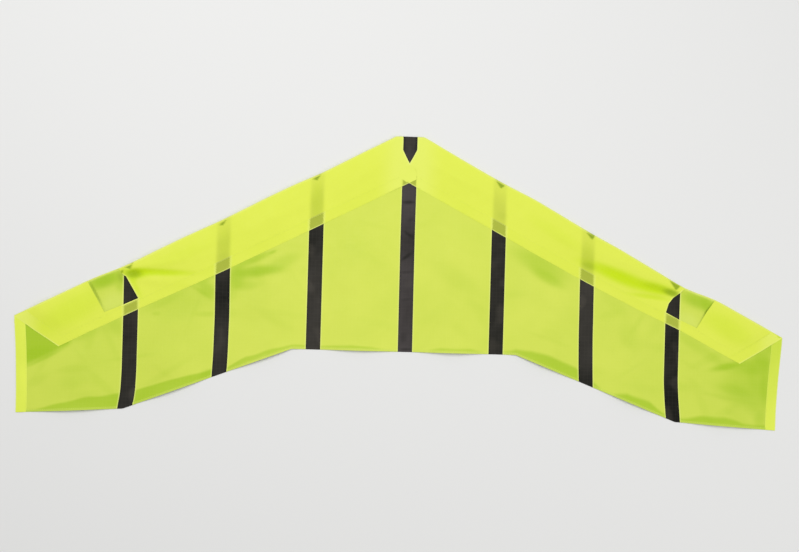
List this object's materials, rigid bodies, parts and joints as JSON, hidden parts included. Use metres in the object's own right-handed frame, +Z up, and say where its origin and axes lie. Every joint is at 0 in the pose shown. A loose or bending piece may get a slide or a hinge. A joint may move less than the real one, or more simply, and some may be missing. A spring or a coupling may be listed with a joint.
{
  "type": "model hang glider sail",
  "caption": "Swept cloth wing sail of a model hang glider, laid flat with its spar sleeves up: yellow panels, dark batten strips and a crossbar window in each sleeve.",
  "frame": {"origin": "on the floor, under the middle of the laid sail's box", "axes": "+X from the left tip to the right tip as laid with the sleeves up, +Y from the trailing edge to the nose, +Z up off the floor"},
  "size_m": [1.097, 0.4072, 0.0067],
  "materials": {
    "panel_cloth": "single layer of fluorescent yellow coated nylon, slightly translucent",
    "sleeve_cloth": "the same yellow nylon over the panels, so brighter",
    "hem_tape": "milky translucent tape on yellow nylon",
    "hem_cloth": "folded and stitched yellow nylon",
    "strip_cloth": "matt black cloth strip",
    "keel_cloth": "matt dark grey cloth strip"
  },
  "bodies": {
    "root": {"keel_strip": "keel_cloth", "batten_strip_left_1": "strip_cloth", "batten_strip_left_2": "strip_cloth", "batten_strip_left_3": "strip_cloth", "batten_strip_right_1": "strip_cloth", "batten_strip_right_2": "strip_cloth", "batten_strip_right_3": "strip_cloth", "panel_left_1": "panel_cloth", "panel_left_2": "panel_cloth", "panel_left_3": "panel_cloth", "panel_left_4": "panel_cloth", "panel_right_1": "panel_cloth", "panel_right_2": "panel_cloth", "panel_right_3": "panel_cloth", "panel_right_4": "panel_cloth", "tip_hem_left": "hem_cloth", "tip_hem_right": "hem_cloth", "leading_edge_sleeve_left": "sleeve_cloth", "leading_edge_sleeve_right": "sleeve_cloth", "sleeve_hem_tape_left": "hem_tape", "sleeve_hem_tape_right": "hem_tape", "sleeve_tip_hem_left": "hem_cloth", "sleeve_tip_hem_right": "hem_cloth"}
  },
  "joints": []
}
